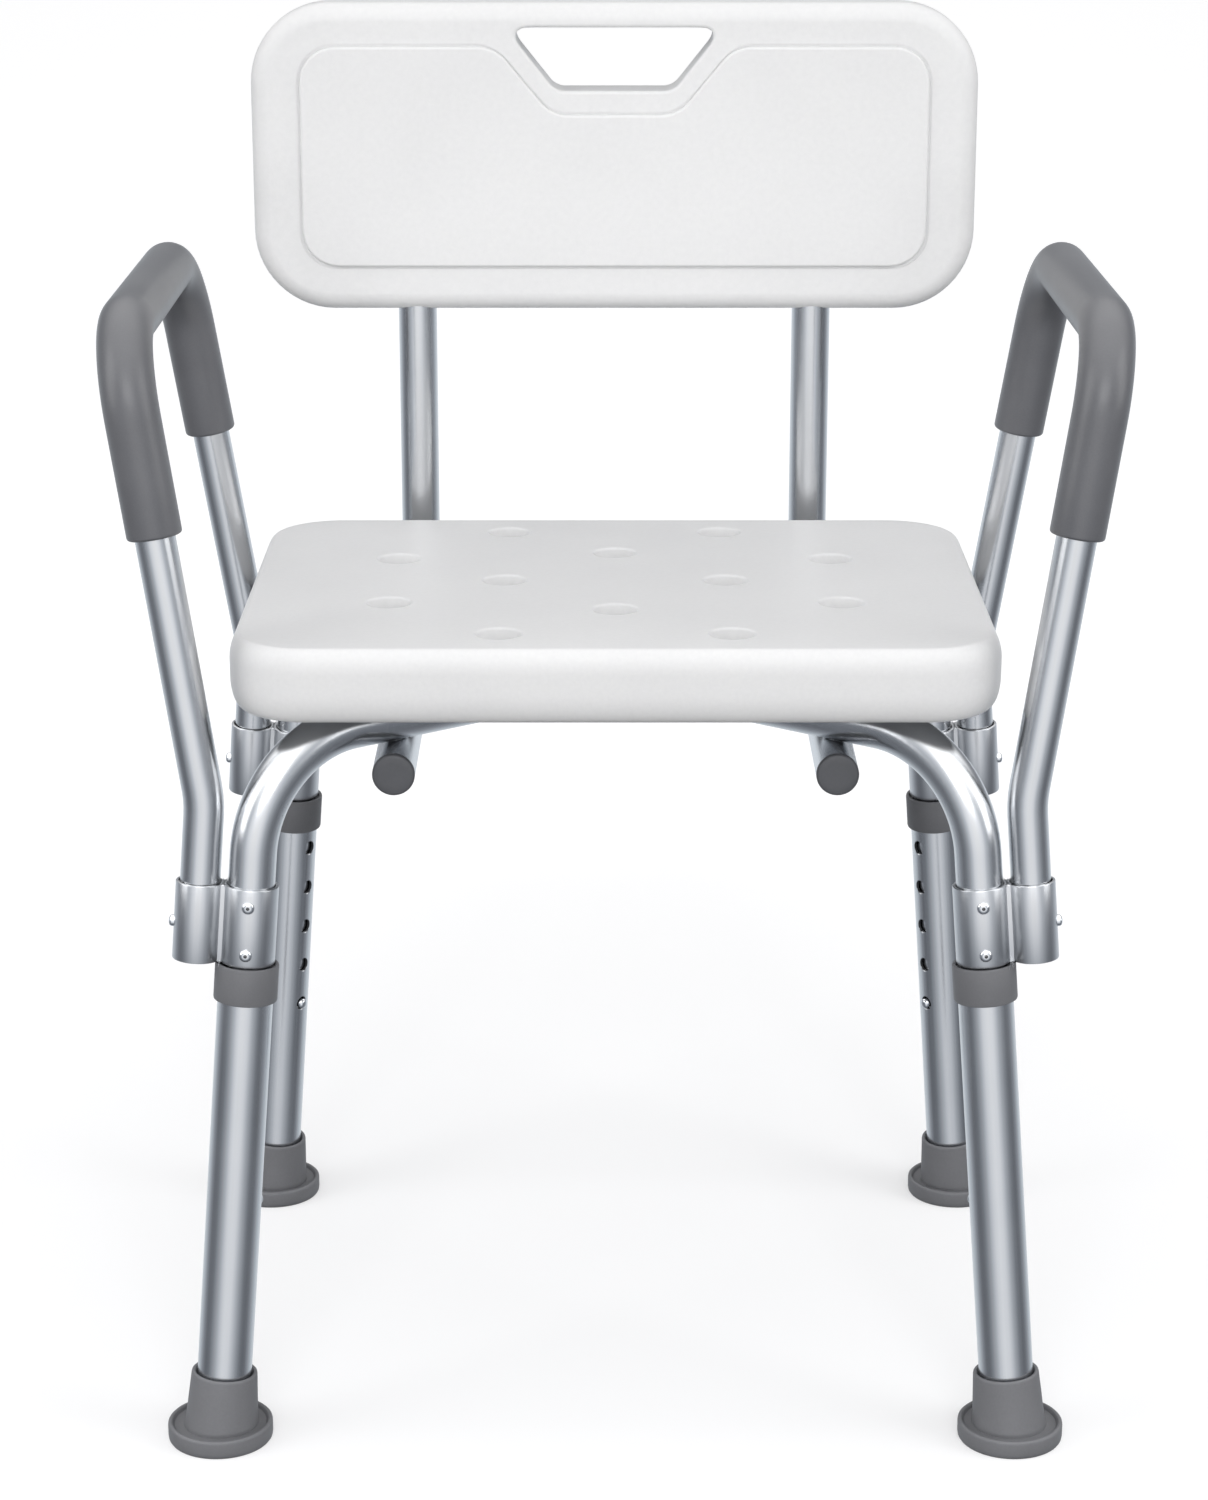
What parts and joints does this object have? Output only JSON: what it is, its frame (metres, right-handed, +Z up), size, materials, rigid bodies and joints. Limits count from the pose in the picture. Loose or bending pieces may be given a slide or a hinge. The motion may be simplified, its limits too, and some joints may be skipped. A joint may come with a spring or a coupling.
{
  "type": "shower chair",
  "caption": "Shower chair with a perforated moulded seat, backrest with handle slot, padded arms and splayed snap-button legs that adjust in height.",
  "frame": {"origin": "on the floor, under the middle of the overall box", "axes": "+Z up, +X to the sitter's left, +Y from the open front towards the backrest"},
  "size_m": [0.524, 0.3948, 0.7245],
  "materials": {
    "white_plastic": "satin white blow-moulded polyethylene, finely pebbled",
    "aluminium": "satin anodised, drawn lengthwise",
    "rubber_grey": "matt mid-grey",
    "grip": "soft satin mid-grey",
    "cap": "satin dark grey",
    "steel": "bright plated"
  },
  "bodies": {
    "frame": {"arm_bracket_front_left": "aluminium", "bracket_rivet_lower_front_left": "aluminium", "bracket_rivet_upper_front_left": "aluminium", "seat_bolt_front_left": "steel", "arm_bracket_front_right": "aluminium", "bracket_rivet_lower_front_right": "aluminium", "bracket_rivet_upper_front_right": "aluminium", "seat_bolt_front_right": "steel", "arm_bracket_rear_left": "aluminium", "bracket_rivet_lower_rear_left": "aluminium", "bracket_rivet_upper_rear_left": "aluminium", "seat_bolt_rear_left": "steel", "arm_bracket_rear_right": "aluminium", "bracket_rivet_lower_rear_right": "aluminium", "bracket_rivet_upper_rear_right": "aluminium", "seat_bolt_rear_right": "steel", "arm_tube_left": "aluminium", "arm_grip_left": "grip", "back_tube_left": "aluminium", "back_tube_cap_left": "cap", "backrest_screw_lower_left": "steel", "backrest_screw_upper_left": "steel", "arm_tube_right": "aluminium", "arm_grip_right": "grip", "back_tube_right": "aluminium", "back_tube_cap_right": "cap", "backrest_screw_lower_right": "steel", "backrest_screw_upper_right": "steel", "frame_tube_upper": "aluminium", "frame_tube_lower": "aluminium", "centre_bolt": "steel", "seat": "white_plastic", "backrest": "white_plastic"},
    "leg_front_left": {"leg_tube_front_left": "aluminium", "leg_collar_front_left": "rubber_grey", "foot_front_left": "rubber_grey"},
    "leg_front_right": {"leg_tube_front_right": "aluminium", "leg_collar_front_right": "rubber_grey", "foot_front_right": "rubber_grey"},
    "leg_rear_left": {"leg_tube_rear_left": "aluminium", "leg_collar_rear_left": "rubber_grey", "foot_rear_left": "rubber_grey"},
    "leg_rear_right": {"leg_tube_rear_right": "aluminium", "leg_collar_rear_right": "rubber_grey", "foot_rear_right": "rubber_grey"},
    "leg_snap_front_left": {"leg_button_front_left": "steel"},
    "leg_snap_front_right": {"leg_button_front_right": "steel"},
    "leg_snap_rear_left": {"leg_button_rear_left": "steel"},
    "leg_snap_rear_right": {"leg_button_rear_right": "steel"},
    "arm_snap_front_left": {"arm_button_front_left": "steel"},
    "arm_snap_front_right": {"arm_button_front_right": "steel"},
    "arm_snap_rear_left": {"arm_button_rear_left": "steel"},
    "arm_snap_rear_right": {"arm_button_rear_right": "steel"}
  },
  "joints": [
    {"name": "leg_height_front_left", "type": "slide", "parent": "frame", "child": "leg_front_left", "axis": [0.0762, -0.0581, -0.9954], "range_m": [0, 0.1016]},
    {"name": "leg_height_front_right", "type": "slide", "parent": "frame", "child": "leg_front_right", "axis": [-0.0762, -0.0581, -0.9954], "range_m": [0, 0.1016]},
    {"name": "leg_height_rear_left", "type": "slide", "parent": "frame", "child": "leg_rear_left", "axis": [0.0762, 0.0581, -0.9954], "range_m": [0, 0.1016]},
    {"name": "leg_height_rear_right", "type": "slide", "parent": "frame", "child": "leg_rear_right", "axis": [-0.0762, 0.0581, -0.9954], "range_m": [0, 0.1016]},
    {"name": "leg_button_press_front_left", "type": "slide", "parent": "frame", "child": "leg_snap_front_left", "axis": [0.7913, -0.6038, 0.0958], "range_m": [0, 0.0045], "stiffness_N_per_m": 2500, "springref_m": -0.002, "deforming": ["leg_button_front_left"]},
    {"name": "leg_button_press_front_right", "type": "slide", "parent": "frame", "child": "leg_snap_front_right", "axis": [-0.7913, -0.6038, 0.0958], "range_m": [0, 0.0045], "stiffness_N_per_m": 2500, "springref_m": -0.002, "deforming": ["leg_button_front_right"]},
    {"name": "leg_button_press_rear_left", "type": "slide", "parent": "frame", "child": "leg_snap_rear_left", "axis": [0.7913, 0.6038, 0.0958], "range_m": [0, 0.0045], "stiffness_N_per_m": 2500, "springref_m": -0.002, "deforming": ["leg_button_rear_left"]},
    {"name": "leg_button_press_rear_right", "type": "slide", "parent": "frame", "child": "leg_snap_rear_right", "axis": [-0.7913, 0.6038, 0.0958], "range_m": [0, 0.0045], "stiffness_N_per_m": 2500, "springref_m": -0.002, "deforming": ["leg_button_rear_right"]},
    {"name": "arm_button_press_front_left", "type": "slide", "parent": "frame", "child": "arm_snap_front_left", "axis": [-0.9971, -0.0044, -0.0761], "range_m": [0, 0.005], "stiffness_N_per_m": 2500, "springref_m": -0.002, "deforming": ["arm_button_front_left"]},
    {"name": "arm_button_press_front_right", "type": "slide", "parent": "frame", "child": "arm_snap_front_right", "axis": [0.9971, -0.0044, -0.0761], "range_m": [0, 0.005], "stiffness_N_per_m": 2500, "springref_m": -0.002, "deforming": ["arm_button_front_right"]},
    {"name": "arm_button_press_rear_left", "type": "slide", "parent": "frame", "child": "arm_snap_rear_left", "axis": [-0.9971, 0.0044, -0.0761], "range_m": [0, 0.005], "stiffness_N_per_m": 2500, "springref_m": -0.002, "deforming": ["arm_button_rear_left"]},
    {"name": "arm_button_press_rear_right", "type": "slide", "parent": "frame", "child": "arm_snap_rear_right", "axis": [0.9971, 0.0044, -0.0761], "range_m": [0, 0.005], "stiffness_N_per_m": 2500, "springref_m": -0.002, "deforming": ["arm_button_rear_right"]}
  ]
}
